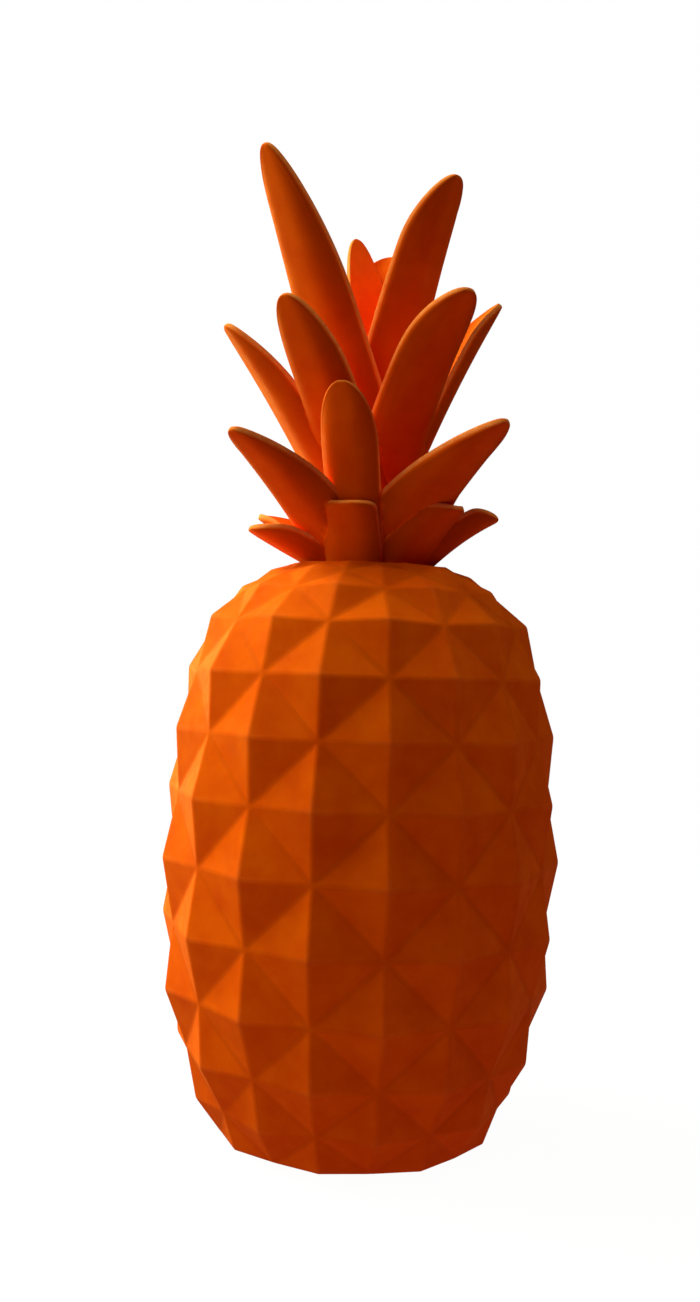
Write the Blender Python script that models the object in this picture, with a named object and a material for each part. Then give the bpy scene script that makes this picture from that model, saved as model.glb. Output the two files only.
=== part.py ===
"""Pineapple figurine: a single casting of a netted fruit, a neck and a crown of leaves.

Units are metres and +Z is up. The origin is the centre of the flat underside, and
the front of the figurine faces -Y. An azimuth is measured round +Z from the front,
growing towards +X.
"""
import math
from typing import NamedTuple

import bmesh
import bpy
from mathutils import Vector

# Fruit: the turned profile runs down from the neck as a short cone and three tangent arcs.
NECK_RADIUS = 0.0260
NECK_SLOPE = math.radians(24.6)          # fall of the cone under the leaves
NECK_CONE_LENGTH = 0.0062
SHOULDER_ARC_RADIUS = 0.0430
SHOULDER_ARC_TURN = math.radians(55.4)
FLANK_ARC_RADIUS = 0.370
FLANK_ARC_TURN = math.radians(14.6)
LOWER_ARC_RADIUS = 0.129

# Net: crossings of the grooves and tips of the pyramids alternate round each ring.
NET_DIAMONDS = 9
RING_COUNT = 13
RING_STEP_PER_RADIUS = 0.338
RING_CROWDING = 0.41                     # rings draw closer where the fruit narrows
NET_PHASE = math.radians(6.2)
NET_TWIST_PER_RING = math.radians(0.2)
PYRAMID_HEIGHT = 0.0036
PYRAMID_FADE_POWER = 1.9                 # pyramids grow lower where the fruit narrows

# Stem: a cone inside the crown that carries the roots of the leaves.
STEM_FOOT_RADIUS = 0.0180
STEM_TOP_RADIUS = 0.0030
STEM_FOOT_BELOW_NECK = 0.0080
STEM_LENGTH = 0.082
STEM_SEGMENTS = 20

# Leaves: thick tongues, rounded across and at the tip.
LEAF_HALF_WIDTH = 0.0093
LEAF_RIM_THICKNESS = 0.0021
LEAF_RIB_THICKNESS = 0.0038
LEAF_TIP_POWER = 2.3                     # 2 is an ellipse, more is blunter
LEAF_LEAN_POWER = 1.3                    # the bend gathers towards the tip
LEAF_TIP_THINNING = 0.0026               # the last stretch thins down to the edge
LEAF_LEAST_THICKNESS_SHARE = 0.3
LEAF_ROOT_TAIL = 0.0120                  # length buried in the stem
LEAF_STATIONS = 10
LEAF_OUTER_POINTS = 7
LEAF_INNER_POINTS = 5
STATION_CROWDING = 1.7                   # stations gather towards the tip

SMOOTH_ANGLE = math.radians(40.0)
WELD_DISTANCE = 0.000005
NODE_NAME = "pineapple_figurine"


class Leaf(NamedTuple):
    """One leaf: lengths in millimetres, angles in degrees.

    root_radius and root_height place the rib where it leaves the stem, the height
    counted from the neck. root_lean and tip_lean are the tilt of the rib away from
    the vertical. taper is the length of the rounded tip, and cup is half of the arc
    that the leaf spans across.
    """

    azimuth: float
    root_radius: float
    root_height: float
    root_lean: float
    tip_lean: float
    length: float
    root_half_width: float
    taper: float
    cup: float = 57.0


NECK_LEAVES = (
    Leaf(-16, 22.8, 0.2, 23, 44, 21.0, 8.5, 6.5, cup=41),
    Leaf(46, 19.3, 1.1, 36, 65, 25.0, 12.0, 10.5, cup=50),
    Leaf(86, 20.4, 0.7, 46, 64, 27.5, 12.5, 7.5),
    Leaf(136, 20.0, 0.5, 38, 63, 27.0, 11.0, 10.0, cup=50),
    Leaf(186, 20.0, 0.5, 34, 62, 26.0, 10.5, 10.0, cup=50),
    Leaf(-124, 20.6, -2.9, 43, 65, 33.8, 9.8, 19.0, cup=52),
    Leaf(-70, 19.6, -0.9, 65, 63, 25.2, 11.6, 13.0, cup=53),
)
LOWER_LEAVES = (
    Leaf(-14, 20.6, -2.0, 24, 23, 60.0, 8.5, 24.0),
    Leaf(35, 23.6, 10.9, 51.5, 62.5, 52.2, 13.6, 50.0, cup=62),
    Leaf(88, 19.5, 6.5, 24, 36, 42.0, 10.5, 27.0),
    Leaf(140, 20.5, 6.5, 34, 48, 50.0, 10.5, 28.0),
    Leaf(186, 20.0, 5.0, 32, 46, 54.0, 10.0, 27.0),
    Leaf(-128, 20.5, 6.0, 40, 54, 46.0, 10.5, 28.0),
    Leaf(-44, 19.2, 1.8, 45, 59, 55.5, 13.9, 37.0, cup=61),
)
MIDDLE_LEAVES = (
    Leaf(-32, 12.6, 23.3, 38.5, 36.5, 68.0, 11.3, 31.5),
    Leaf(30, 12.9, 25.3, 24.5, 53, 69.0, 11.6, 27.5),
    Leaf(109, 13.4, 28.7, 22.5, 30.5, 70.5, 10.0, 22.0),
    Leaf(156, 13.0, 25.0, 24, 40, 66.0, 10.5, 27.0),
    Leaf(-154, 13.0, 23.0, 25, 42, 66.0, 10.5, 27.0),
    Leaf(-75, 16.0, 19.9, 29.5, 37.5, 66.0, 13.9, 33.0, cup=59),
)
TOP_LEAVES = (
    Leaf(-45, 14.9, 44.0, 23.6, 26.6, 89.3, 14.0, 51.0, cup=59),
    Leaf(51, 9.9, 54.1, 12.6, 22.6, 73.0, 13.2, 25.5, cup=60),
    Leaf(166, 6.5, 52.5, 10, 18, 57.6, 10.4, 15.0),
    Leaf(-146, 6.1, 53.6, 5, 17, 60.0, 8.0, 60.0),
)
MILLIMETRE = 0.001

ORANGE_LINEAR = (0.86, 0.155, 0.004, 1.0)
MATT_ROUGHNESS = 0.72


def clear_scene():
    """Remove every object that the file opened with."""
    for old in list(bpy.data.objects):
        bpy.data.objects.remove(old, do_unlink=True)


def direction(azimuth):
    """Return the horizontal unit vector that points along an azimuth."""
    return Vector((math.sin(azimuth), -math.cos(azimuth), 0.0))


def shade_smooth(mesh):
    """Shade every face of a bmesh smooth."""
    for face in mesh.faces:
        face.smooth = True


def profile_point(distance):
    """Return (radius, drop below the neck, slope) at a distance along the profile."""
    on_cone = min(distance, NECK_CONE_LENGTH)
    radius = NECK_RADIUS + on_cone * math.cos(NECK_SLOPE)
    drop = on_cone * math.sin(NECK_SLOPE)
    slope = NECK_SLOPE
    arcs = (
        (SHOULDER_ARC_RADIUS, SHOULDER_ARC_TURN),
        (FLANK_ARC_RADIUS, FLANK_ARC_TURN),
        (LOWER_ARC_RADIUS, math.pi),
    )
    left = distance - on_cone
    for arc_radius, full_turn in arcs:
        turn = min(left / arc_radius, full_turn)
        radius += arc_radius * (math.sin(slope + turn) - math.sin(slope))
        drop += arc_radius * (math.cos(slope) - math.cos(slope + turn))
        slope += turn
        left -= turn * arc_radius
        if left <= 0.0:
            break
    return radius, drop, slope


def widest_radius():
    """Return the fruit's radius at its equator, which lies on the flank's arc."""
    until_flank = NECK_CONE_LENGTH + SHOULDER_ARC_RADIUS * SHOULDER_ARC_TURN
    to_upright = 0.5 * math.pi - NECK_SLOPE - SHOULDER_ARC_TURN
    return profile_point(until_flank + FLANK_ARC_RADIUS * to_upright)[0]


def ring_distances():
    """Return the rings' distances along the profile, spaced so the diamonds keep their form."""
    widest = widest_radius()

    def step_at(distance):
        radius = profile_point(distance)[0]
        return RING_STEP_PER_RADIUS * radius * (radius / widest) ** RING_CROWDING

    distances = [0.0]
    while len(distances) < RING_COUNT:
        start = distances[-1]
        step = step_at(start)
        for _ in range(4):
            step = step_at(start + 0.5 * step)
        distances.append(start + step)
    return distances


def fruit_rings():
    """Return the net's rings from the neck down, as lists of (point, is_tip) round the fruit."""
    profile = [profile_point(distance) for distance in ring_distances()]
    height = profile[-1][1]
    widest = widest_radius()
    rings = []
    for index, (radius, drop, slope) in enumerate(profile):
        relief = PYRAMID_HEIGHT * (radius / widest) ** PYRAMID_FADE_POWER
        ring = []
        for column in range(2 * NET_DIAMONDS):
            azimuth = NET_PHASE + NET_TWIST_PER_RING * index + math.pi * column / NET_DIAMONDS
            is_tip = (index + column) % 2 == 1
            out, up = radius, height - drop
            if is_tip and index == RING_COUNT - 1:
                out += relief
            elif is_tip:
                out += relief * math.sin(slope)
                up += relief * math.cos(slope)
            ring.append((direction(azimuth) * out + Vector((0.0, 0.0, up)), is_tip))
        rings.append(ring)
    return rings


def build_fruit():
    """Build the fruit: a closed net of four-sided pyramids with a flat underside."""
    mesh = bmesh.new()
    rings = fruit_rings()
    rows = [[mesh.verts.new(point) for point, _ in ring] for ring in rings]
    count = 2 * NET_DIAMONDS
    for index in range(RING_COUNT - 1):
        upper, lower = rows[index], rows[index + 1]
        for column in range(count):
            after = (column + 1) % count
            corners = (upper[column], lower[column], lower[after], upper[after])
            # The groove joins the two corners that are crossings.
            if rings[index][column][1]:
                mesh.faces.new((corners[0], corners[1], corners[3]))
                mesh.faces.new((corners[1], corners[2], corners[3]))
            else:
                mesh.faces.new((corners[0], corners[1], corners[2]))
                mesh.faces.new((corners[0], corners[2], corners[3]))
    mesh.faces.new(reversed(rows[0]))
    mesh.faces.new(rows[-1])
    bmesh.ops.recalc_face_normals(mesh, faces=mesh.faces)
    return mesh


def build_stem(neck_height):
    """Build the cone that the leaves stand on."""
    mesh = bmesh.new()
    bmesh.ops.create_cone(
        mesh, cap_ends=True, segments=STEM_SEGMENTS,
        radius1=STEM_FOOT_RADIUS, radius2=STEM_TOP_RADIUS, depth=STEM_LENGTH,
    )
    middle = neck_height - STEM_FOOT_BELOW_NECK + 0.5 * STEM_LENGTH
    bmesh.ops.translate(mesh, verts=mesh.verts, vec=(0.0, 0.0, middle))
    shade_smooth(mesh)
    return mesh


def rib_points(leaf, distances):
    """Return (radius, height above the neck, lean) of the rib at distances from the root."""
    root_lean, tip_lean = math.radians(leaf.root_lean), math.radians(leaf.tip_lean)
    length = leaf.length * MILLIMETRE
    slices = 60
    step = length / slices
    curve = [(leaf.root_radius * MILLIMETRE, leaf.root_height * MILLIMETRE, root_lean)]
    for index in range(slices):
        share = (index + 0.5) / slices
        lean = root_lean + (tip_lean - root_lean) * share ** LEAF_LEAN_POWER
        radius, height, _ = curve[-1]
        curve.append((radius + step * math.sin(lean), height + step * math.cos(lean), lean))
    points = []
    for distance in distances:
        if distance <= 0.0:
            radius, height, lean = curve[0]
            points.append((radius + distance * math.sin(lean), height + distance * math.cos(lean), lean))
            continue
        place = min(distance / step, slices - 1e-6)
        low = int(place)
        share = place - low
        points.append(tuple(a + (b - a) * share for a, b in zip(curve[low], curve[low + 1])))
    return points


def leaf_half_width(leaf, distance):
    """Return the leaf's half width and the half width before its tip is rounded."""
    length = leaf.length * MILLIMETRE
    share = min(max(distance / length, 0.0), 1.0)
    root_half_width = leaf.root_half_width * MILLIMETRE
    full = root_half_width + (LEAF_HALF_WIDTH - root_half_width) * share
    into_tip = min(max(1.0 - (length - distance) / (leaf.taper * MILLIMETRE), 0.0), 1.0)
    return full * math.sqrt(max(1.0 - into_tip ** LEAF_TIP_POWER, 0.0)), full


def leaf_thinning(leaf, distance):
    """Return the share of the full thickness that is left at a distance from the root."""
    to_tip = leaf.length * MILLIMETRE - distance
    share = min(to_tip / LEAF_TIP_THINNING, 1.0)
    return math.sqrt(max(share, LEAF_LEAST_THICKNESS_SHARE ** 2))


def leaf_section(leaf, distance, rib, neck_height):
    """Return the closed loop of points across the leaf at one distance from its root."""
    radius, height, lean = rib
    azimuth = math.radians(leaf.azimuth)
    out, side = direction(azimuth), direction(azimuth + 0.5 * math.pi)
    outward = out * math.cos(lean) - Vector((0.0, 0.0, math.sin(lean)))
    centre = out * radius + Vector((0.0, 0.0, neck_height + height))
    half_width, full = leaf_half_width(leaf, distance)
    bow = full / math.sin(math.radians(leaf.cup))
    reach = math.asin(half_width / bow)
    thinning = leaf_thinning(leaf, distance)

    def across(share, thickness_share):
        angle = share * reach
        rib_share = math.cos(0.5 * math.pi * share)
        thickness = LEAF_RIM_THICKNESS + (LEAF_RIB_THICKNESS - LEAF_RIM_THICKNESS) * rib_share
        sunk = bow * (1.0 - math.cos(angle)) + thickness * thinning * thickness_share
        return centre + side * (bow * math.sin(angle)) - outward * sunk

    def shares(count):
        return [2.0 * index / (count - 1) - 1.0 for index in range(count)]

    outer = [across(share, 0.0) for share in shares(LEAF_OUTER_POINTS)]
    inner = [across(-share, 1.0) for share in shares(LEAF_INNER_POINTS)]
    return outer + inner


def build_leaf(leaf, neck_height):
    """Build one leaf as a closed tongue whose root lies inside the stem."""
    length = leaf.length * MILLIMETRE
    distances = [-LEAF_ROOT_TAIL]
    for index in range(LEAF_STATIONS):
        share = index / LEAF_STATIONS
        distances.append(length * (1.0 - (1.0 - share) ** STATION_CROWDING))
    ribs = rib_points(leaf, distances + [length])
    mesh = bmesh.new()
    loops = []
    for distance, rib in zip(distances, ribs):
        section = leaf_section(leaf, distance, rib, neck_height)
        loops.append([mesh.verts.new(point) for point in section])
    for first, second in zip(loops, loops[1:]):
        for index in range(len(first)):
            after = (index + 1) % len(first)
            mesh.faces.new((first[index], first[after], second[after], second[index]))
    mesh.faces.new(reversed(loops[0]))
    tip_section = leaf_section(leaf, length, ribs[-1], neck_height)
    tip = mesh.verts.new(sum(tip_section, Vector()) / len(tip_section))
    last = loops[-1]
    for index in range(len(last)):
        mesh.faces.new((last[index], last[(index + 1) % len(last)], tip))
    bmesh.ops.recalc_face_normals(mesh, faces=mesh.faces)
    shade_smooth(mesh)
    return mesh


def joined(parts):
    """Return one bmesh that holds copies of several, which are freed."""
    whole = bmesh.new()
    for part in parts:
        holder = bpy.data.meshes.new("part")
        part.to_mesh(holder)
        part.free()
        whole.from_mesh(holder)
        bpy.data.meshes.remove(holder)
    return whole


def add_object(name, mesh):
    """Put a bmesh into the scene as a named object and free it."""
    data = bpy.data.meshes.new(name)
    bmesh.ops.triangulate(mesh, faces=mesh.faces)
    mesh.to_mesh(data)
    mesh.free()
    item = bpy.data.objects.new(name, data)
    bpy.context.scene.collection.objects.link(item)
    return item


def matt_orange():
    """Return the single finish of the whole casting."""
    material = bpy.data.materials.new("matt_orange")
    material.use_nodes = True
    shader = material.node_tree.nodes["Principled BSDF"]
    shader.inputs["Base Color"].default_value = ORANGE_LINEAR
    shader.inputs["Roughness"].default_value = MATT_ROUGHNESS
    shader.inputs["Metallic"].default_value = 0.0
    material.diffuse_color = ORANGE_LINEAR
    return material


def union_with(body, addition):
    """Join another object into a body for good, and remove the other object."""
    boolean = body.modifiers.new("union", "BOOLEAN")
    boolean.operation = "UNION"
    boolean.solver = "EXACT"
    boolean.use_self = True
    boolean.object = addition
    bpy.context.view_layer.update()
    evaluated = body.evaluated_get(bpy.context.evaluated_depsgraph_get())
    merged = bmesh.new()
    merged.from_mesh(evaluated.to_mesh())
    evaluated.to_mesh_clear()
    body.modifiers.clear()
    bpy.data.objects.remove(addition, do_unlink=True)
    bmesh.ops.remove_doubles(merged, verts=merged.verts, dist=WELD_DISTANCE)
    bmesh.ops.dissolve_degenerate(merged, edges=merged.edges, dist=WELD_DISTANCE)
    bmesh.ops.triangulate(merged, faces=merged.faces)
    merged.to_mesh(body.data)
    merged.free()


def main():
    """Build the figurine."""
    clear_scene()
    neck_height = profile_point(ring_distances()[-1])[1]
    leaves = NECK_LEAVES + LOWER_LEAVES + MIDDLE_LEAVES + TOP_LEAVES
    crown_parts = [build_stem(neck_height)] + [build_leaf(leaf, neck_height) for leaf in leaves]
    figurine = add_object(NODE_NAME, build_fruit())
    union_with(figurine, add_object("crown", joined(crown_parts)))
    figurine.data.set_sharp_from_angle(angle=SMOOTH_ANGLE)
    figurine.data.materials.append(matt_orange())


main()
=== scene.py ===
"""Matt orange pineapple figurine: the looks of the netted fruit and its crown of leaves.

Lengths are metres, +Z is up, the origin is the centre of the flat underside and the
front faces -Y. An azimuth is measured round +Z from the front, growing towards +X.
"""
from __future__ import annotations

import logging
import math
from dataclasses import dataclass, field
from enum import Enum
from typing import Iterator

import bmesh
import bpy
from mathutils import Matrix, Vector

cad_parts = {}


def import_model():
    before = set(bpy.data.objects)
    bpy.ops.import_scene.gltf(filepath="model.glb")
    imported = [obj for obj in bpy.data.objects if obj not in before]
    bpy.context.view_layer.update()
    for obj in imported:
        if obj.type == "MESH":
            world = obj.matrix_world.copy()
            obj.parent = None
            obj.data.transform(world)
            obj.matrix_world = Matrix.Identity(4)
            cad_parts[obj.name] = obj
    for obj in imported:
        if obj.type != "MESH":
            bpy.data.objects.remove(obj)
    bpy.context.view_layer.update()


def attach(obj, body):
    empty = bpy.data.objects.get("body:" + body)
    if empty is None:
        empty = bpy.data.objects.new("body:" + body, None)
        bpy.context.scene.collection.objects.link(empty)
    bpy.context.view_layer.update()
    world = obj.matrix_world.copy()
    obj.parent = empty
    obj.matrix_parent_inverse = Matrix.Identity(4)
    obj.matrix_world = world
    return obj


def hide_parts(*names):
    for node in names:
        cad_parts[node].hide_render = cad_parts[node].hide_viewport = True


LOG = logging.getLogger("pineapple_figurine")

MILLIMETRE = 0.001
FIGURINE_NODE = "pineapple_figurine"
# Vertex attribute that carries edge wear and painted light and shade: above 0 paler, below 0 darker.
WEAR_AND_LIGHT_LAYER = "wear_and_painted_light"
RING_LAYER = "ring"
TURN_LAYER = "turn"

Colour = tuple[float, float, float, float]


def direction(azimuth: float) -> Vector:
    """Return the horizontal unit vector that points along an azimuth in radians."""
    return Vector((math.sin(azimuth), -math.cos(azimuth), 0.0))


def new_object(name: str, mesh: bmesh.types.BMesh) -> bpy.types.Object:
    """Put a bmesh into the scene as a named object at the origin, and free it.

    Args:
        name: The object's name.
        mesh: The finished bmesh.

    Returns:
        The new object.
    """
    data = bpy.data.meshes.new(name)
    mesh.to_mesh(data)
    mesh.free()
    item = bpy.data.objects.new(name, data)
    bpy.context.scene.collection.objects.link(item)
    return item


def extrude_loop(mesh: bmesh.types.BMesh, loop: list[bmesh.types.BMVert]) -> list[bmesh.types.BMVert]:
    """Extrude the open end of a tube.

    Args:
        mesh: The bmesh of the tube.
        loop: The vertices round its open end.

    Returns:
        The vertices round the new open end, which still lie on the old one.
    """
    held = set(loop)
    rim = []
    for vertex in loop:
        rim += [edge for edge in vertex.link_edges if held.issuperset(edge.verts) and edge not in rim]
    grown = bmesh.ops.extrude_edge_only(mesh, edges=rim)["geom"]
    return [item for item in grown if isinstance(item, bmesh.types.BMVert)]


@dataclass(frozen=True)
class FruitProfile:
    """The turned profile under the net: a short cone and three tangent arcs."""

    neck_radius: float = 0.0260
    neck_slope: float = math.radians(24.6)
    cone_length: float = 0.0062
    shoulder_radius: float = 0.0430
    shoulder_turn: float = math.radians(55.4)
    flank_radius: float = 0.370
    flank_turn: float = math.radians(14.6)
    lower_radius: float = 0.129

    def point(self, distance: float) -> tuple[float, float, float]:
        """Return one point of the profile.

        Args:
            distance: The way along the profile from the neck.

        Returns:
            The radius, the drop below the neck and the slope there.
        """
        on_cone = min(distance, self.cone_length)
        radius = self.neck_radius + on_cone * math.cos(self.neck_slope)
        drop = on_cone * math.sin(self.neck_slope)
        slope = self.neck_slope
        arcs = (
            (self.shoulder_radius, self.shoulder_turn),
            (self.flank_radius, self.flank_turn),
            (self.lower_radius, math.pi),
        )
        left = distance - on_cone
        for arc_radius, full_turn in arcs:
            turn = min(left / arc_radius, full_turn)
            radius += arc_radius * (math.sin(slope + turn) - math.sin(slope))
            drop += arc_radius * (math.cos(slope) - math.cos(slope + turn))
            slope += turn
            left -= turn * arc_radius
            if left <= 0.0:
                break
        return radius, drop, slope

    def widest(self) -> float:
        """Find the equator, which lies on the flank's arc.

        Returns:
            The largest radius.
        """
        to_flank = self.cone_length + self.shoulder_radius * self.shoulder_turn
        to_upright = 0.5 * math.pi - self.neck_slope - self.shoulder_turn
        return self.point(to_flank + self.flank_radius * to_upright)[0]


@dataclass
class NettedFruit:
    """The fruit: a net of low four-sided pyramids with softened ridges and grooves."""

    profile: FruitProfile = field(default_factory=FruitProfile)
    diamonds: int = 9
    ring_count: int = 13
    step_per_radius: float = 0.338
    crowding: float = 0.41
    step_refinements: int = 4
    phase: float = math.radians(6.2)
    twist_per_ring: float = math.radians(0.2)
    pyramid_height: float = 0.0036
    fade_power: float = 1.9
    edge_softness: float = 0.0007
    edge_segments: int = 3
    flat_margin: float = 0.0004
    tip_wear_and_highlight: float = 0.10
    groove_painted_shade: float = 0.15

    def ring_distances(self) -> list[float]:
        """Space the rings of the net, closer together where the fruit is narrow.

        Returns:
            The rings' distances along the profile, from the neck down.
        """
        widest = self.profile.widest()

        def step_at(distance: float) -> float:
            """Return the step to the next ring that suits the radius at a distance."""
            radius = self.profile.point(distance)[0]
            return self.step_per_radius * radius * (radius / widest) ** self.crowding

        distances = [0.0]
        while len(distances) < self.ring_count:
            start = distances[-1]
            step = step_at(start)
            for _ in range(self.step_refinements):
                step = step_at(start + 0.5 * step)
            distances.append(start + step)
        return distances

    def neck_height(self) -> float:
        """Return the height of the neck above the underside."""
        return self.profile.point(self.ring_distances()[-1])[1]

    def turned_cage(self) -> tuple[bmesh.types.BMesh, bmesh.types.BMLayerItem]:
        """Spin the profile's line round the axis.

        Returns:
            The open cage, and the vertex layer that holds each vertex's ring.
        """
        mesh = bmesh.new()
        mesh.verts.layers.float.new(WEAR_AND_LIGHT_LAYER)
        ring_layer = mesh.verts.layers.int.new(RING_LAYER)
        neck = self.neck_height()
        line = []
        for ring, distance in enumerate(self.ring_distances()):
            radius, drop, _ = self.profile.point(distance)
            vertex = mesh.verts.new((0.0, -radius, neck - drop))
            vertex[ring_layer] = ring
            line.append(vertex)
        edges = [mesh.edges.new(pair) for pair in zip(line, line[1:])]
        bmesh.ops.spin(
            mesh, geom=line + edges, cent=(0.0, 0.0, 0.0), axis=(0.0, 0.0, 1.0), dvec=(0.0, 0.0, 0.0),
            angle=math.tau, steps=2 * self.diamonds, use_merge=True, use_duplicate=False,
        )
        return mesh, ring_layer

    def raise_tips(
        self, mesh: bmesh.types.BMesh, ring_layer: bmesh.types.BMLayerItem
    ) -> list[bmesh.types.BMVert]:
        """Turn each ring to its place in the net and lift the pyramids' tips.

        Args:
            mesh: The turned cage.
            ring_layer: The vertex layer that holds each vertex's ring.

        Returns:
            The vertices where the grooves cross.
        """
        widest = self.profile.widest()
        wear_and_light_layer = mesh.verts.layers.float[WEAR_AND_LIGHT_LAYER]
        column_turn = math.pi / self.diamonds
        points = [self.profile.point(distance) for distance in self.ring_distances()]
        crossings = []
        for vertex in mesh.verts:
            ring = vertex[ring_layer]
            radius, _, slope = points[ring]
            azimuth = math.atan2(vertex.co.x, -vertex.co.y)
            column = round(azimuth / column_turn)
            place = self.phase + self.twist_per_ring * ring + column * column_turn
            if (ring + column) % 2 == 0:
                vertex.co = direction(place) * radius + Vector((0.0, 0.0, vertex.co.z))
                # Painted shade: the crossings get a negative value, which the paint turns darker along
                # the grooves.
                vertex[wear_and_light_layer] = -self.groove_painted_shade
                crossings.append(vertex)
                continue
            # The tips get a small positive value, which the paint turns paler along the ridges: edge
            # wear and painted highlight.
            vertex[wear_and_light_layer] = self.tip_wear_and_highlight
            relief = self.pyramid_height * (radius / widest) ** self.fade_power
            on_underside = ring == self.ring_count - 1
            out = relief if on_underside else relief * math.sin(slope)
            up = 0.0 if on_underside else relief * math.cos(slope)
            vertex.co = direction(place) * (radius + out) + Vector((0.0, 0.0, vertex.co.z + up))
        return crossings

    def build(self) -> bmesh.types.BMesh:
        """Build the closed fruit.

        Returns:
            The bmesh of the fruit, with a rounded strip along every ridge and groove.
        """
        mesh, ring_layer = self.turned_cage()
        crossings = self.raise_tips(mesh, ring_layer)
        bmesh.ops.connect_verts(mesh, verts=crossings)
        bmesh.ops.holes_fill(mesh, edges=[edge for edge in mesh.edges if edge.is_boundary], sides=0)
        bmesh.ops.recalc_face_normals(mesh, faces=mesh.faces)
        strips = bmesh.ops.bevel(
            mesh, geom=mesh.edges[:], offset=self.edge_softness, offset_type="OFFSET",
            segments=self.edge_segments, profile=0.5, affect="EDGES", clamp_overlap=True, material=-1,
        )
        wear_and_light_layer = mesh.verts.layers.float[WEAR_AND_LIGHT_LAYER]
        rounded = set(strips["faces"])
        wide = [face for face in mesh.faces if face not in rounded]
        bmesh.ops.inset_individual(mesh, faces=wide, thickness=self.flat_margin, use_even_offset=True)
        for face in wide:
            for vertex in face.verts:
                vertex[wear_and_light_layer] = 0.0
        for face in mesh.faces:
            face.smooth = True
        return mesh


@dataclass(frozen=True)
class Leaf:
    """One leaf: lengths in millimetres, angles in degrees.

    root_radius and root_height place the rib where it leaves the stem, the height
    counted from the neck. root_lean and tip_lean are the rib's tilt away from the
    vertical, taper is the length of the rounded tip, and cup is half of the arc that
    the leaf spans across.
    """

    azimuth: float
    root_radius: float
    root_height: float
    root_lean: float
    tip_lean: float
    length: float
    root_half_width: float
    taper: float
    cup: float = 57.0


class Tier(Enum):
    """The four tiers of the crown, from the neck up."""

    NECK = "neck"
    LOWER = "lower"
    MIDDLE = "middle"
    TOP = "top"


CROWN_LEAVES: dict[Tier, tuple[Leaf, ...]] = {
    Tier.NECK: (
        Leaf(-16, 22.8, 0.2, 23, 44, 21.0, 9.2, 4.8, cup=41),
        Leaf(46, 19.3, 1.1, 36, 65, 25.0, 12.0, 10.5, cup=50),
        Leaf(86, 20.4, 0.7, 46, 64, 27.5, 12.5, 7.5),
        Leaf(136, 20.0, 0.5, 38, 63, 27.0, 11.0, 10.0, cup=50),
        Leaf(186, 20.0, 0.5, 34, 62, 26.0, 10.5, 10.0, cup=50),
        Leaf(-124, 20.6, -2.9, 43, 65, 33.8, 9.8, 19.0, cup=52),
        Leaf(-70, 19.6, -0.9, 65, 63, 25.2, 11.6, 13.0, cup=53),
    ),
    Tier.LOWER: (
        Leaf(-14, 20.6, -2.0, 24, 23, 60.0, 8.5, 24.0),
        Leaf(35, 23.6, 10.9, 51.5, 62.5, 52.2, 13.6, 50.0, cup=62),
        Leaf(88, 19.5, 6.5, 24, 36, 42.0, 10.5, 27.0),
        Leaf(140, 20.5, 6.5, 34, 48, 50.0, 10.5, 28.0),
        Leaf(186, 20.0, 5.0, 32, 46, 54.0, 10.0, 27.0),
        Leaf(-128, 20.5, 6.0, 40, 54, 46.0, 10.5, 28.0),
        Leaf(-44, 19.2, 1.8, 45, 59, 55.5, 13.9, 37.0, cup=61),
    ),
    Tier.MIDDLE: (
        Leaf(-32, 12.6, 23.3, 38.5, 36.5, 68.0, 11.3, 31.5),
        Leaf(30, 12.9, 25.3, 24.5, 53, 69.0, 11.6, 27.5),
        Leaf(109, 13.4, 28.7, 22.5, 30.5, 70.5, 10.0, 22.0),
        Leaf(156, 13.0, 25.0, 24, 40, 66.0, 10.5, 27.0),
        Leaf(-154, 13.0, 23.0, 25, 42, 66.0, 10.5, 27.0),
        Leaf(-75, 16.0, 19.9, 29.5, 37.5, 66.0, 13.9, 33.0, cup=59),
    ),
    Tier.TOP: (
        Leaf(-45, 14.9, 44.0, 23.6, 26.6, 89.3, 14.0, 51.0, cup=59),
        Leaf(51, 9.9, 54.1, 12.6, 22.6, 73.0, 13.2, 25.5, cup=60),
        Leaf(166, 6.5, 52.5, 10, 18, 57.6, 10.4, 15.0),
        Leaf(-146, 6.1, 53.6, 5, 17, 60.0, 8.0, 60.0),
    ),
}


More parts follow.
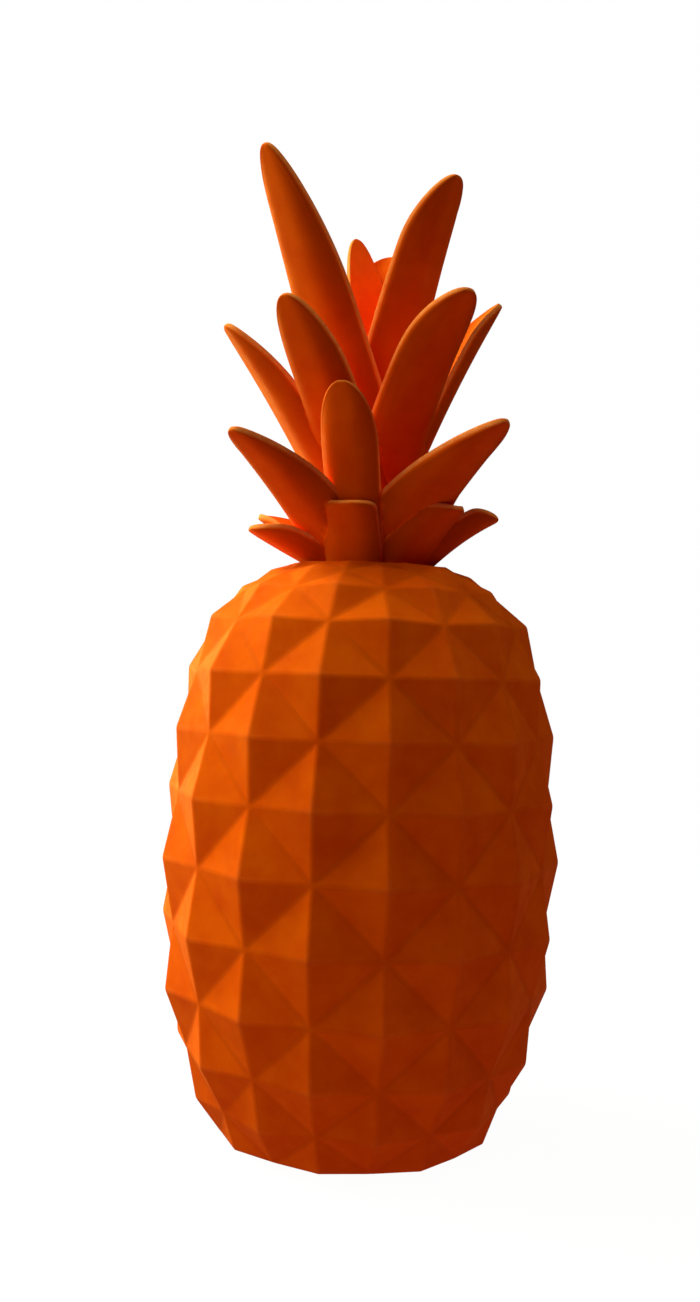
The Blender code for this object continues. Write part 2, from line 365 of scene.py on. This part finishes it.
@dataclass(frozen=True)
class LeafForm:
    """The sizes that all leaves share, and the sweep that makes one leaf from them."""

    half_width: float = 0.0093
    least_half_width: float = 0.000001
    rim_thickness: float = 0.0021
    rib_thickness: float = 0.0038
    tip_power: float = 2.3
    lean_power: float = 1.3
    tray_power: float = 3.6
    rim_squareness: float = 3.0
    lip_height: float = 0.00030
    lip_place: float = 0.00050
    lip_spread: float = 0.00035
    lip_fade: float = 0.0080
    rim_pale_reach: float = 0.00034
    face_painted_shade: float = 0.20
    flank_painted_shade: float = 0.50
    flank_power: float = 2.0
    inside_painted_light: float = 0.05
    tip_thinning: float = 0.0022
    tip_slimming: float = 0.0150
    tip_inset: float = 0.0006
    root_tail: float = 0.0120
    stations: int = 34
    crowding: float = 1.7
    loop_points: int = 60
    rib_slices: int = 60

    def rib(self, leaf: Leaf, distance: float) -> tuple[float, float, float]:
        """Follow the bent rib of a leaf.

        Args:
            leaf: The leaf.
            distance: The way along the rib from the root, negative inside the stem.

        Returns:
            The radius, the height above the neck and the lean at that distance.
        """
        root_lean = math.radians(leaf.root_lean)
        bend = math.radians(leaf.tip_lean) - root_lean
        radius, height = leaf.root_radius * MILLIMETRE, leaf.root_height * MILLIMETRE
        length = leaf.length * MILLIMETRE
        lean = root_lean
        if distance <= 0.0:
            return radius + distance * math.sin(lean), height + distance * math.cos(lean), lean
        step = distance / self.rib_slices
        for index in range(self.rib_slices):
            share = (index + 0.5) * step / length
            lean = root_lean + bend * share ** self.lean_power
            radius += step * math.sin(lean)
            height += step * math.cos(lean)
        return radius, height, lean

    def widths(self, leaf: Leaf, distance: float) -> tuple[float, float]:
        """Work out how wide a leaf is at one place.

        Args:
            leaf: The leaf.
            distance: The way along the rib from the root.

        Returns:
            The half width there, and the half width before the tip is rounded.
        """
        length = self.reach(leaf)
        share = min(max(distance / length, 0.0), 1.0)
        root = leaf.root_half_width * MILLIMETRE
        full = root + (self.half_width - root) * share
        into_tip = min(max(1.0 - (length - distance) / (leaf.taper * MILLIMETRE), 0.0), 1.0)
        return full * math.sqrt(max(1.0 - into_tip ** self.tip_power, 0.0)), full

    def edge_depth(self, leaf: Leaf, distance: float) -> float:
        """Work out how far the rims lie inside the rib, as on an arc that spans the leaf.

        Args:
            leaf: The leaf.
            distance: The way along the rib from the root.

        Returns:
            The depth of the arc at that distance.
        """
        half_width, full = self.widths(leaf, distance)
        bow = full / math.sin(math.radians(leaf.cup))
        return bow - math.sqrt(bow ** 2 - half_width ** 2)

    def reach(self, leaf: Leaf) -> float:
        """Return the distance of the tip along the rib."""
        return leaf.length * MILLIMETRE - self.tip_inset

    def thinning(self, leaf: Leaf, distance: float) -> float:
        """Return the share of the full thickness that the rounding of the tip leaves."""
        into_end = 1.0 - min((self.reach(leaf) - distance) / self.tip_thinning, 1.0)
        return max(1.0 - into_end ** self.rim_squareness, 0.0) ** (1.0 / self.rim_squareness)

    def section_point(self, leaf: Leaf, distance: float, turn: float, neck: float) -> Vector:
        """Return one point of the section across a leaf.

        Args:
            leaf: The leaf.
            distance: The way along the rib from the root.
            turn: The place round the section: 0 and pi are the rims, pi / 2 the outer rib.
            neck: The height of the neck above the underside.

        Returns:
            The point, in the figurine's own frame.
        """
        radius, height, lean = self.rib(leaf, distance)
        azimuth = math.radians(leaf.azimuth)
        out, side = direction(azimuth), direction(azimuth + 0.5 * math.pi)
        outward = out * math.cos(lean) - Vector((0.0, 0.0, math.sin(lean)))
        centre = out * radius + Vector((0.0, 0.0, neck + height))
        half_width, _ = self.widths(leaf, distance)
        share = math.cos(turn)
        slimming = min((self.reach(leaf) - distance) / self.tip_slimming, 1.0)
        crown = math.cos(0.5 * math.pi * share) * slimming
        thickness = self.rim_thickness + (self.rib_thickness - self.rim_thickness) * crown
        left = self.thinning(leaf, distance) * self.rim_rounding(share, half_width)
        sunk = self.edge_depth(leaf, distance) * abs(share) ** self.tray_power
        sunk += 0.5 * thickness * (1.0 - math.copysign(left, math.sin(turn)))
        if math.sin(turn) > 0.0:
            sunk -= left * self.lip(half_width * (1.0 - abs(share)), self.reach(leaf) - distance)
        return centre + side * (half_width * share) - outward * sunk

    def lip(self, from_rim: float, from_tip: float) -> float:
        """Return the height of the fine raised lip at a distance from the rim and the tip."""
        rise = math.exp(-((from_rim - self.lip_place) / self.lip_spread) ** 2)
        return self.lip_height * rise * min(from_tip / self.lip_fade, 1.0)

    def wear_and_painted_light(self, leaf: Leaf, distance: float, turn: float) -> float:
        """Work out the pale rim, as edge wear and painted highlight, and the painted light and shade at
        one point of a leaf's section.

        Args:
            leaf: The leaf.
            distance: The way along the rib from the root.
            turn: The place round the section, as in section_point.

        Returns:
            1 at the rim, painted pale as edge wear and painted highlight, 0 for the plain coat, below 0
            for painted shade on the outer face and its flanks, a little above 0 for painted light on the
            inner face.
        """
        half_width, _ = self.widths(leaf, distance)
        share = abs(math.cos(turn))
        fall = self.edge_depth(leaf, distance) * (1.0 - share ** self.tray_power)
        from_rim = min(math.hypot(half_width * (1.0 - share), fall), self.reach(leaf) - distance)
        # The rim is painted pale: edge wear and painted highlight.
        pale_rim = math.exp(-(from_rim / self.rim_pale_reach) ** 2)
        # Painted shade: the outer face is darker, most of all on its flanks.
        outer_painted_shade = -self.face_painted_shade - self.flank_painted_shade * share ** self.flank_power
        # Painted light: the inner face is made slightly paler.
        face = outer_painted_shade if math.sin(turn) > 0.0 else self.inside_painted_light
        return pale_rim + (1.0 - pale_rim) * face

    def rim_rounding(self, share: float, half_width: float) -> float:
        """Round the rim of a section.

        Args:
            share: The place across the leaf, from -1 on one rim to 1 on the other.
            half_width: The section's half width.

        Returns:
            The share of the thickness that is left there.
        """
        rim = min(0.5 * self.rim_thickness / max(half_width, self.least_half_width), 1.0)
        into_rim = max((abs(share) - 1.0 + rim) / rim, 0.0)
        return max(1.0 - into_rim ** self.rim_squareness, 0.0) ** (1.0 / self.rim_squareness)

    def distances(self, leaf: Leaf) -> Iterator[float]:
        """Place the sections of a leaf, closer together towards the tip.

        Args:
            leaf: The leaf.

        Yields:
            The distances along the rib, from the buried tail to just before the tip.
        """
        yield -self.root_tail
        for index in range(self.stations):
            share = index / self.stations
            yield self.reach(leaf) * (1.0 - (1.0 - share) ** self.crowding)

    def build(self, leaf: Leaf, neck: float) -> bmesh.types.BMesh:
        """Sweep one leaf: a round disc is laid on the first section and extruded to the tip.

        Args:
            leaf: The leaf.
            neck: The height of the neck above the underside.

        Returns:
            The closed bmesh of the leaf.
        """
        mesh = bmesh.new()
        mesh.verts.layers.float.new(TURN_LAYER)
        wear_and_light_layer = mesh.verts.layers.float.new(WEAR_AND_LIGHT_LAYER)
        turn_layer = mesh.verts.layers.float[TURN_LAYER]
        disc = bmesh.ops.create_circle(
            mesh, cap_ends=True, radius=self.half_width, segments=self.loop_points
        )
        for vertex in disc["verts"]:
            vertex[turn_layer] = math.atan2(vertex.co.y, vertex.co.x)
        loop = disc["verts"]
        for place, distance in enumerate(self.distances(leaf)):
            if place > 0:
                loop = extrude_loop(mesh, loop)
            for vertex in loop:
                vertex.co = self.section_point(leaf, distance, vertex[turn_layer], neck)
                vertex[wear_and_light_layer] = self.wear_and_painted_light(leaf, distance, vertex[turn_layer])
        tip = self.section_point(leaf, self.reach(leaf), 0.5 * math.pi, neck)
        bmesh.ops.pointmerge(mesh, verts=extrude_loop(mesh, loop), merge_co=tip)
        bmesh.ops.recalc_face_normals(mesh, faces=mesh.faces)
        for face in mesh.faces:
            face.smooth = True
        return mesh


@dataclass
class Crown:
    """The crown: a cone inside it carries the roots of all the leaves."""

    form: LeafForm = field(default_factory=LeafForm)
    stem_foot_radius: float = 0.0180
    stem_top_radius: float = 0.0030
    stem_below_neck: float = 0.0080
    stem_length: float = 0.082
    stem_segments: int = 40

    def build_stem(self, neck: float) -> bmesh.types.BMesh:
        """Build the cone that the leaves are rooted in.

        Args:
            neck: The height of the neck above the underside.

        Returns:
            The closed bmesh of the cone.
        """
        mesh = bmesh.new()
        bmesh.ops.create_cone(
            mesh, cap_ends=True, segments=self.stem_segments, radius1=self.stem_foot_radius,
            radius2=self.stem_top_radius, depth=self.stem_length,
        )
        middle = neck - self.stem_below_neck + 0.5 * self.stem_length
        bmesh.ops.translate(mesh, verts=mesh.verts, vec=(0.0, 0.0, middle))
        for face in mesh.faces:
            face.smooth = True
        return mesh

    def parts(self, neck: float) -> Iterator[bpy.types.Object]:
        """Build the stem and then every leaf, tier by tier.

        Args:
            neck: The height of the neck above the underside.

        Yields:
            Each part as a separate object.
        """
        yield new_object("stem", self.build_stem(neck))
        for tier, leaves in CROWN_LEAVES.items():
            for index, leaf in enumerate(leaves):
                yield new_object(f"{tier.value}_leaf_{index}", self.form.build(leaf, neck))


@dataclass(frozen=True)
class NappedPaint:
    """The single finish: a matt orange coat with a short nap, paler on its edges and ridges as edge wear
    and painted highlight, and darker as painted shade in the fruit's grooves and on the leaves' outer
    faces.
    """

    name: str = "napped_orange_paint"
    colour: Colour = (0.92, 0.134, 0.0, 1.0)
    deep_colour: Colour = (0.80, 0.088, 0.0, 1.0)
    worn_and_highlit_colour: Colour = (1.0, 0.32, 0.20, 1.0)
    painted_shade_colour: Colour = (0.44, 0.046, 0.002, 1.0)
    least_paleness: float = 0.50
    most_paleness: float = 1.0
    least_roughness: float = 0.70
    most_roughness: float = 0.88
    sheen: float = 0.04
    sheen_roughness: float = 0.35
    sheen_tint: Colour = (1.0, 0.45, 0.10, 1.0)
    gloss: float = 0.22
    gloss_tint: Colour = (1.0, 0.30, 0.02, 1.0)
    noise_low: float = 0.30
    noise_high: float = 0.70
    mottle_scale: float = 95.0
    mottle_detail: float = 4.0
    grain_scale: float = 420.0
    grain_detail: float = 3.0
    unevenness_detail: float = 2.0
    unevenness_strength: float = 0.35
    unevenness_height: float = 0.00022
    nap_scale: float = 1500.0
    nap_detail: float = 3.0
    nap_strength: float = 0.60
    nap_height: float = 0.00007

    def noise(self, tree: bpy.types.NodeTree, scale: float, detail: float) -> bpy.types.NodeSocket:
        """Return the value of a noise that is laid through the object.

        Args:
            tree: The node tree.
            scale: The noise's cells in a metre.
            detail: The number of finer layers.

        Returns:
            The socket that carries the value, from 0 to 1 round 0.5.
        """
        place = tree.nodes.new("ShaderNodeTexCoord")
        noise = tree.nodes.new("ShaderNodeTexNoise")
        noise.inputs["Scale"].default_value = scale
        noise.inputs["Detail"].default_value = detail
        tree.links.new(place.outputs["Object"], noise.inputs["Vector"])
        return noise.outputs["Fac"]

    def ranged(
        self, tree: bpy.types.NodeTree, value: bpy.types.NodeSocket, low: float, high: float
    ) -> bpy.types.NodeSocket:
        """Spread the middle range of a noise over new limits.

        Args:
            tree: The node tree.
            value: The noise's value.
            low: The result at the lower end of the middle range.
            high: The result at its upper end.

        Returns:
            The socket that carries the result.
        """
        spread = tree.nodes.new("ShaderNodeMapRange")
        spread.inputs["From Min"].default_value = self.noise_low
        spread.inputs["From Max"].default_value = self.noise_high
        spread.inputs["To Min"].default_value = low
        spread.inputs["To Max"].default_value = high
        tree.links.new(value, spread.inputs["Value"])
        return spread.outputs["Result"]

    def mixed(
        self, tree: bpy.types.NodeTree, factor: bpy.types.NodeSocket,
        base: bpy.types.NodeSocket | None, over: Colour,
    ) -> bpy.types.NodeSocket:
        """Return a colour laid over another one, or over the coat's own colour.

        Args:
            tree: The node tree.
            factor: The mask of the upper colour.
            base: The socket of the lower colour, or None for the coat's own colour.
            over: The upper colour.

        Returns:
            The socket that carries the mixed colour.
        """
        mix = tree.nodes.new("ShaderNodeMix")
        mix.data_type = "RGBA"
        mix.inputs["A"].default_value = self.colour
        mix.inputs["B"].default_value = over
        tree.links.new(factor, mix.inputs["Factor"])
        if base is not None:
            tree.links.new(base, mix.inputs["A"])
        return mix.outputs["Result"]

    def product(
        self, tree: bpy.types.NodeTree, value: bpy.types.NodeSocket, factor: bpy.types.NodeSocket | float
    ) -> bpy.types.NodeSocket:
        """Multiply a value by another value or a number.

        Args:
            tree: The node tree.
            value: The value's socket.
            factor: The other value's socket, or a number.

        Returns:
            The socket that carries the product, kept between 0 and 1.
        """
        node = tree.nodes.new("ShaderNodeMath")
        node.operation = "MULTIPLY"
        node.use_clamp = True
        tree.links.new(value, node.inputs[0])
        if isinstance(factor, float):
            node.inputs[1].default_value = factor
        else:
            tree.links.new(factor, node.inputs[1])
        return node.outputs["Value"]

    def relief(self, tree: bpy.types.NodeTree) -> bpy.types.NodeSocket:
        """Lay the fine nap over a slightly uneven surface.

        Args:
            tree: The node tree.

        Returns:
            The socket that carries the normal.
        """
        uneven = tree.nodes.new("ShaderNodeBump")
        uneven.inputs["Strength"].default_value = self.unevenness_strength
        uneven.inputs["Distance"].default_value = self.unevenness_height
        swell = self.noise(tree, self.mottle_scale, self.unevenness_detail)
        tree.links.new(swell, uneven.inputs["Height"])
        nap = tree.nodes.new("ShaderNodeBump")
        nap.inputs["Strength"].default_value = self.nap_strength
        nap.inputs["Distance"].default_value = self.nap_height
        fibres = self.noise(tree, self.nap_scale, self.nap_detail)
        tree.links.new(fibres, nap.inputs["Height"])
        tree.links.new(uneven.outputs["Normal"], nap.inputs["Normal"])
        return nap.outputs["Normal"]

    def material(self) -> bpy.types.Material:
        """Build the material.

        Returns:
            A material whose colour, roughness and bump vary over the surface.
        """
        material = bpy.data.materials.new(self.name)
        material.use_nodes = True
        tree = material.node_tree
        shader = tree.nodes["Principled BSDF"]
        shader.inputs["Metallic"].default_value = 0.0
        shader.inputs["Sheen Weight"].default_value = self.sheen
        shader.inputs["Sheen Roughness"].default_value = self.sheen_roughness
        shader.inputs["Sheen Tint"].default_value = self.sheen_tint
        shader.inputs["Specular IOR Level"].default_value = self.gloss
        shader.inputs["Specular Tint"].default_value = self.gloss_tint
        mottle = self.noise(tree, self.mottle_scale, self.mottle_detail)
        grain = self.noise(tree, self.grain_scale, self.grain_detail)
        wear_and_light = tree.nodes.new("ShaderNodeAttribute")
        wear_and_light.attribute_name = WEAR_AND_LIGHT_LAYER
        coat = self.mixed(tree, self.ranged(tree, mottle, 0.0, 1.0), None, self.deep_colour)
        patches = self.ranged(tree, grain, self.least_paleness, self.most_paleness)
        # Pale rims and ridges from the positive part of the attribute: edge wear and painted highlight.
        paleness_mask = self.product(tree, wear_and_light.outputs["Fac"], patches)
        coat = self.mixed(tree, paleness_mask, coat, self.worn_and_highlit_colour)
        # Painted shade from the negative part of the attribute: the fruit's grooves and the leaves'
        # outer faces and flanks.
        painted_shade_mask = self.product(tree, wear_and_light.outputs["Fac"], -1.0)
        coat = self.mixed(tree, painted_shade_mask, coat, self.painted_shade_colour)
        tree.links.new(coat, shader.inputs["Base Color"])
        roughness = self.ranged(tree, grain, self.least_roughness, self.most_roughness)
        tree.links.new(roughness, shader.inputs["Roughness"])
        tree.links.new(self.relief(tree), shader.inputs["Normal"])
        return material


@dataclass
class Figurine:
    """The whole casting: the fruit and the crown joined into one closed skin."""

    fruit: NettedFruit = field(default_factory=NettedFruit)
    crown: Crown = field(default_factory=Crown)
    paint: NappedPaint = field(default_factory=NappedPaint)
    crease_angle: float = math.radians(40.0)
    weld_distance: float = 0.000005

    def unite(self, body: bpy.types.Object, addition: bpy.types.Object) -> None:
        """Join another object into the body for good, and remove the other object.

        Args:
            body: The object that grows.
            addition: The closed object that is joined into it.
        """
        union = body.modifiers.new("union", "BOOLEAN")
        union.operation = "UNION"
        union.solver = "MANIFOLD"
        union.object = addition
        bpy.context.view_layer.update()
        evaluated = body.evaluated_get(bpy.context.evaluated_depsgraph_get())
        merged = bmesh.new()
        merged.from_mesh(evaluated.to_mesh())
        evaluated.to_mesh_clear()
        body.modifiers.clear()
        bpy.data.objects.remove(addition, do_unlink=True)
        merged.to_mesh(body.data)
        merged.free()

    def keep_outer_skin(self, mesh: bmesh.types.BMesh) -> None:
        """Delete the small closed pockets that the joins leave inside the casting.

        Args:
            mesh: The joined bmesh, of which the largest connected shell stays.
        """
        waiting = set(mesh.verts)
        shells = []
        while waiting:
            front = [waiting.pop()]
            shell = []
            while front:
                vertex = front.pop()
                shell.append(vertex)
                for edge in vertex.link_edges:
                    neighbour = edge.other_vert(vertex)
                    if neighbour in waiting:
                        waiting.remove(neighbour)
                        front.append(neighbour)
            shells.append(shell)
        shells.sort(key=len)
        pockets = [vertex for shell in shells[:-1] for vertex in shell]
        bmesh.ops.delete(mesh, geom=pockets, context="VERTS")

    def build(self) -> bpy.types.Object:
        """Build, join and dress the casting.

        Returns:
            The finished object.
        """
        body = new_object("figurine_skin", self.fruit.build())
        for part in self.crown.parts(self.fruit.neck_height()):
            self.unite(body, part)
        merged = bmesh.new()
        merged.from_mesh(body.data)
        bmesh.ops.remove_doubles(merged, verts=merged.verts, dist=self.weld_distance)
        self.keep_outer_skin(merged)
        merged.to_mesh(body.data)
        merged.free()
        body.data.set_sharp_from_angle(angle=self.crease_angle)
        body.data.materials.clear()
        body.data.materials.append(self.paint.material())
        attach(body, "root")
        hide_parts(FIGURINE_NODE)
        return body


@dataclass(frozen=True)
class Lamp:
    """One square soft light: angles in degrees, lengths in metres, power in watts."""

    name: str
    azimuth: float
    elevation: float
    power: float
    distance: float = 0.90
    size: float = 0.40


@dataclass
class Studio:
    """The pale floor, the soft lights and the camera."""

    floor_radius: float = 0.6
    floor_segments: int = 64
    floor_colour: Colour = (0.05, 0.05, 0.16, 1.0)
    floor_roughness: float = 0.9
    camera_distance: float = 0.42405
    camera_height: float = 0.15525
    camera_roll: float = math.radians(2.03)
    lens: float = 35.53
    lens_shift: float = -0.01313
    lamps: tuple[Lamp, ...] = (
        Lamp("back", -115.0, 44.0, power=6.4),
        Lamp("rear", -138.0, 8.0, power=6.2),
        Lamp("high", -90.0, 56.0, power=4.6),
        Lamp("low", -90.0, 8.0, power=2.5),
        Lamp("front", -32.0, 36.0, power=1.1),
        Lamp("side", 96.0, 56.0, power=1.7),
    )
    lamp_colour: tuple[float, float, float] = (1.0, 1.0, 0.25)
    aim_height: float = 0.13
    seen_colour: Colour = (1.0, 1.0, 1.0, 1.0)
    fill_colour: Colour = (1.0, 0.45, 0.20, 1.0)
    fill_strength: float = 0.02
    sky_glow: float = 1.0
    floor_glow: float = 0.975
    floor_bounce: float = 0.36

    def build_floor(self) -> bpy.types.Object:
        """Build the round floor, which glows so that it stays pale all over.

        Returns:
            The floor.
        """
        mesh = bmesh.new()
        bmesh.ops.create_circle(
            mesh, cap_ends=True, radius=self.floor_radius, segments=self.floor_segments
        )
        floor = new_object("studio_floor", mesh)
        material = bpy.data.materials.new("pale_floor")
        material.use_nodes = True
        shader = material.node_tree.nodes["Principled BSDF"]
        shader.inputs["Base Color"].default_value = self.floor_colour
        shader.inputs["Roughness"].default_value = self.floor_roughness
        shader.inputs["Specular IOR Level"].default_value = 0.0
        self.white_for_camera(
            material.node_tree, shader, "Emission Color", "Emission Strength",
            self.floor_glow, self.floor_bounce,
        )
        floor.data.materials.append(material)
        return floor

    def build_world(self) -> None:
        """Surround the scene with white that lights the figurine only faintly."""
        world = bpy.data.worlds.new("white_studio")
        world.use_nodes = True
        tree = world.node_tree
        background = tree.nodes["Background"]
        self.white_for_camera(tree, background, "Color", "Strength", self.sky_glow, self.fill_strength)
        bpy.context.scene.world = world

    def white_for_camera(
        self, tree: bpy.types.NodeTree, node: bpy.types.Node,
        colour: str, strength: str, seen: float, shed: float,
    ) -> None:
        """Make a glowing node white to the camera, and a weak warm light to the figurine.

        Args:
            tree: The node tree.
            node: The node that glows.
            colour: The name of its colour socket.
            strength: The name of its strength socket.
            seen: The strength that the camera sees.
            shed: The strength that lights the figurine.
        """
        rays = tree.nodes.new("ShaderNodeLightPath")
        tint = tree.nodes.new("ShaderNodeMix")
        tint.data_type = "RGBA"
        tint.inputs["A"].default_value = self.fill_colour
        tint.inputs["B"].default_value = self.seen_colour
        tree.links.new(rays.outputs["Is Camera Ray"], tint.inputs["Factor"])
        tree.links.new(tint.outputs["Result"], node.inputs[colour])
        choice = tree.nodes.new("ShaderNodeMapRange")
        choice.inputs["To Min"].default_value = shed
        choice.inputs["To Max"].default_value = seen
        tree.links.new(rays.outputs["Is Camera Ray"], choice.inputs["Value"])
        tree.links.new(choice.outputs["Result"], node.inputs[strength])

    def add_lamp(self, lamp: Lamp) -> None:
        """Add one soft light that faces the figurine.

        Args:
            lamp: Its place, size and power.
        """
        data = bpy.data.lights.new(lamp.name, "AREA")
        data.size = lamp.size
        data.energy = lamp.power
        data.color = self.lamp_colour
        light = bpy.data.objects.new(lamp.name, data)
        bpy.context.scene.collection.objects.link(light)
        elevation = math.radians(lamp.elevation)
        towards = direction(math.radians(lamp.azimuth)) * math.cos(elevation)
        towards += Vector((0.0, 0.0, math.sin(elevation)))
        light.location = Vector((0.0, 0.0, self.aim_height)) + towards * lamp.distance
        light.rotation_euler = towards.to_track_quat("Z", "Y").to_euler()

    def build_camera(self) -> None:
        """Add the camera at the photograph's viewing angle."""
        data = bpy.data.cameras.new("camera")
        data.lens = self.lens
        data.shift_x = self.lens_shift
        camera = bpy.data.objects.new("camera", data)
        bpy.context.scene.collection.objects.link(camera)
        turn = Matrix.Rotation(0.5 * math.pi, 4, "X") @ Matrix.Rotation(self.camera_roll, 4, "Z")
        camera.matrix_world = Matrix.Translation((0.0, -self.camera_distance, self.camera_height)) @ turn
        bpy.context.scene.camera = camera

    def build(self) -> bpy.types.Object:
        """Set up the floor, world, lights, camera and plain colour handling.

        Returns:
            The floor.
        """
        floor = self.build_floor()
        self.build_world()
        for lamp in self.lamps:
            self.add_lamp(lamp)
        self.build_camera()
        bpy.context.scene.view_settings.view_transform = "Standard"
        return floor


def main() -> None:
    """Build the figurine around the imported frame, then the studio."""
    logging.basicConfig(level=logging.INFO, format="%(name)s: %(message)s")
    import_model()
    body = Figurine().build()
    LOG.info("%s: %d faces", body.name, len(body.data.polygons))
    floor = Studio().build()
    LOG.info("%s: %d faces", floor.name, len(floor.data.polygons))


if __name__ == "__main__":
    main()
